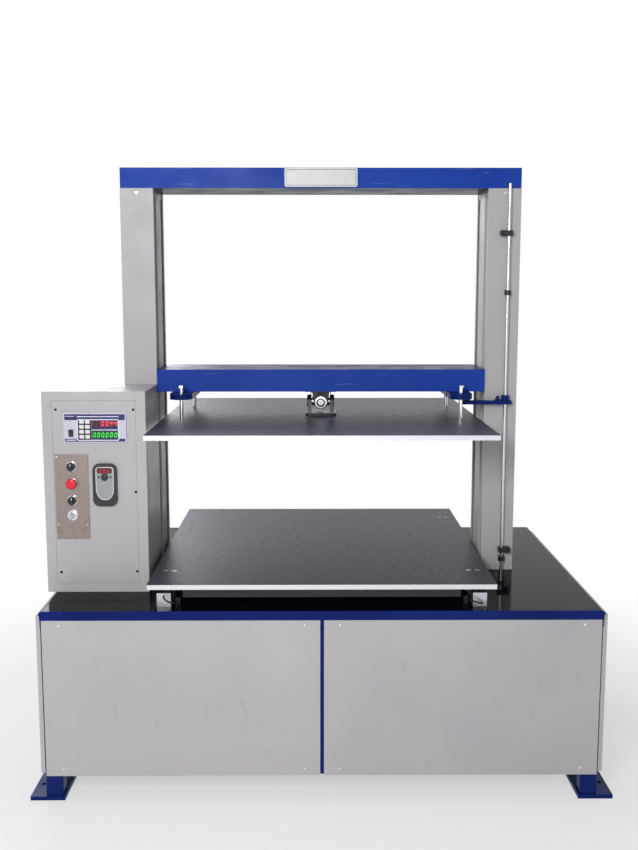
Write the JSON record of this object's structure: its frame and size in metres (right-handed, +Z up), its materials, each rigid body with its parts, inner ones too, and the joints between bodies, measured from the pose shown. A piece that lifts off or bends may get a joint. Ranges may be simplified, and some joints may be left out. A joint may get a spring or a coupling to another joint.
{
  "type": "box compression tester",
  "caption": "Floor-standing box compression tester: a screw-driven crosshead with a pivoted upper platen over a lower platen on load cells, on a panelled base with a cabinet.",
  "frame": {"origin": "on the floor, under the middle of the machine's bounding box", "axes": "+Z up, front towards -Y, +X to the right as seen from the front; the load axis stands at x = 0, y = +0.015 m"},
  "size_m": [1.688, 1.03, 1.839],
  "materials": {
    "light_grey_paint": "smooth satin powder coat",
    "blue_paint": "smooth semi-gloss paint",
    "dark_blue_gloss": "deep high gloss paint",
    "platen_steel": "ground steel with a dull grey sheen",
    "ground_steel": "bright ground steel",
    "dark_steel": "blackened steel",
    "chrome": "bright plating",
    "aluminium": "fine machined",
    "stainless": "brushed stainless sheet",
    "bronze": "machined bronze",
    "cast_grey": "painted casting",
    "black_plastic": "moulded, satin",
    "red_plastic": "moulded, glossy",
    "white_plastic": "moulded, satin",
    "indicator_plastic": "moulded with a printed film",
    "keypad_plastic": "moulded, fine texture",
    "rubber": "matt black"
  },
  "bodies": {
    "frame": {"foot_plates": "blue_paint", "base_frame": "blue_paint", "base_top": "dark_blue_gloss", "base_panels": "light_grey_paint", "side_panels": "light_grey_paint", "cover_screws": "chrome", "column_covers": "light_grey_paint", "screw_covers": "light_grey_paint", "shaft_plates": "dark_steel", "guide_shafts": "ground_steel", "screw_bearings": "dark_steel", "top_beam": "blue_paint", "lower_platen": "platen_steel", "platen_screws": "ground_steel", "platen_bearers": "ground_steel", "load_cells": "aluminium", "load_cell_leads": "rubber", "lead_glands": "black_plastic", "rod_guides": "dark_steel", "limit_switches": "black_plastic", "cabinet_shell": "light_grey_paint", "cabinet_door": "light_grey_paint", "control_plate": "stainless", "switch_collars": "chrome", "load_indicator": "indicator_plastic", "drive_keypad": "keypad_plastic", "drive_belt": "rubber", "gear_motor": "cast_grey"},
    "crosshead": {"crosshead_beam": "blue_paint", "crosshead_lugs": "blue_paint", "carriages": "dark_steel", "linear_bushes": "ground_steel", "screw_nuts": "bronze", "trip_arm": "blue_paint", "upper_yoke": "dark_steel", "bearing_cups": "chrome", "yoke_bolts": "chrome"},
    "joint_cross": {"joint_cross": "ground_steel"},
    "platen": {"lower_yoke": "dark_steel", "upper_platen": "platen_steel", "platen_bolts": "chrome"},
    "trip_rod": {"limit_rod": "ground_steel", "rod_collars": "dark_steel"},
    "left_screw": {"left_lead_screw": "ground_steel"},
    "right_screw": {"right_lead_screw": "ground_steel"},
    "motor_pulley": {"motor_pulley": "ground_steel"},
    "rocker": {"rocker_switch": "black_plastic"},
    "upper_selector": {"upper_selector": "black_plastic"},
    "stop_button": {"stop_button": "red_plastic"},
    "lower_selector": {"lower_selector": "black_plastic"},
    "key_switch": {"key_switch": "ground_steel"},
    "keypad_knob": {"keypad_knob": "black_plastic"},
    "key_1": {"indicator_key_1": "white_plastic"},
    "key_2": {"indicator_key_2": "white_plastic"},
    "key_3": {"indicator_key_3": "white_plastic"},
    "key_4": {"indicator_key_4": "white_plastic"},
    "key_5": {"indicator_key_5": "white_plastic"},
    "key_6": {"indicator_key_6": "white_plastic"},
    "key_7": {"indicator_key_7": "white_plastic"},
    "key_8": {"indicator_key_8": "white_plastic"}
  },
  "joints": [
    {"name": "crosshead_lift", "type": "slide", "parent": "frame", "child": "crosshead", "axis": [0, 0, 1], "range_m": [-0.39, 0.31]},
    {"name": "left_screw_turn", "type": "hinge", "parent": "frame", "child": "left_screw", "pos_m": [-0.57, 0.015, 0.6], "axis": [0, 0, 1], "range_deg": [-11220, 14100]},
    {"name": "right_screw_turn", "type": "hinge", "parent": "frame", "child": "right_screw", "pos_m": [0.57, 0.015, 0.6], "axis": [0, 0, 1], "range_deg": [-11220, 14100]},
    {"name": "motor_pulley_turn", "type": "hinge", "parent": "frame", "child": "motor_pulley", "pos_m": [0, 0.18, 0.35], "axis": [0, 0, 1], "range_deg": [-16800, 21120]},
    {"name": "cross_tilt", "type": "hinge", "parent": "crosshead", "child": "joint_cross", "pos_m": [0, 0.015, 1.1045], "axis": [0, 1, 0], "range_deg": [-1, 1]},
    {"name": "platen_tilt", "type": "hinge", "parent": "joint_cross", "child": "platen", "pos_m": [0, 0.015, 1.1045], "axis": [1, 0, 0], "range_deg": [-1, 1]},
    {"name": "trip_rod_slide", "type": "slide", "parent": "frame", "child": "trip_rod", "axis": [0, 0, 1], "range_m": [-0.005, 0.005], "stiffness_N_per_m": 2500, "springref_m": 0.0033},
    {"name": "rocker_tip", "type": "hinge", "parent": "frame", "child": "rocker", "pos_m": [-0.737, -0.331, 1.0478], "axis": [1, 0, 0], "range_deg": [-16, 0]},
    {"name": "upper_selector_turn", "type": "hinge", "parent": "frame", "child": "upper_selector", "pos_m": [-0.7395, -0.3284, 0.9484], "axis": [0, 1, 0], "range_deg": [-45, 45]},
    {"name": "stop_button_press", "type": "slide", "parent": "frame", "child": "stop_button", "axis": [0, 1, 0], "range_m": [0, 0.005], "stiffness_N_per_m": 800, "springref_m": -0.002},
    {"name": "lower_selector_turn", "type": "hinge", "parent": "frame", "child": "lower_selector", "pos_m": [-0.7395, -0.3284, 0.8466], "axis": [0, 1, 0], "range_deg": [-45, 45]},
    {"name": "key_switch_turn", "type": "hinge", "parent": "frame", "child": "key_switch", "pos_m": [-0.7395, -0.3284, 0.8013], "axis": [0, 1, 0], "range_deg": [0, 90]},
    {"name": "keypad_knob_turn", "type": "hinge", "parent": "frame", "child": "keypad_knob", "pos_m": [-0.641, -0.335, 0.917], "axis": [0, 1, 0], "range_deg": [-150, 150]},
    {"name": "key_1_press", "type": "slide", "parent": "frame", "child": "key_1", "axis": [0, 1, 0], "range_m": [0, 0.001], "stiffness_N_per_m": 600, "springref_m": -0.0005},
    {"name": "key_2_press", "type": "slide", "parent": "frame", "child": "key_2", "axis": [0, 1, 0], "range_m": [0, 0.001], "stiffness_N_per_m": 600, "springref_m": -0.0005},
    {"name": "key_3_press", "type": "slide", "parent": "frame", "child": "key_3", "axis": [0, 1, 0], "range_m": [0, 0.001], "stiffness_N_per_m": 600, "springref_m": -0.0005},
    {"name": "key_4_press", "type": "slide", "parent": "frame", "child": "key_4", "axis": [0, 1, 0], "range_m": [0, 0.001], "stiffness_N_per_m": 600, "springref_m": -0.0005},
    {"name": "key_5_press", "type": "slide", "parent": "frame", "child": "key_5", "axis": [0, 1, 0], "range_m": [0, 0.001], "stiffness_N_per_m": 600, "springref_m": -0.0005},
    {"name": "key_6_press", "type": "slide", "parent": "frame", "child": "key_6", "axis": [0, 1, 0], "range_m": [0, 0.001], "stiffness_N_per_m": 600, "springref_m": -0.0005},
    {"name": "key_7_press", "type": "slide", "parent": "frame", "child": "key_7", "axis": [0, 1, 0], "range_m": [0, 0.001], "stiffness_N_per_m": 600, "springref_m": -0.0005},
    {"name": "key_8_press", "type": "slide", "parent": "frame", "child": "key_8", "axis": [0, 1, 0], "range_m": [0, 0.001], "stiffness_N_per_m": 600, "springref_m": -0.0005}
  ],
  "couplings": [
    {"joint": "left_screw_turn", "follows": "crosshead_lift", "rad_per_m": -628.32},
    {"joint": "right_screw_turn", "follows": "crosshead_lift", "rad_per_m": -628.32},
    {"joint": "motor_pulley_turn", "follows": "crosshead_lift", "rad_per_m": -942.48}
  ]
}
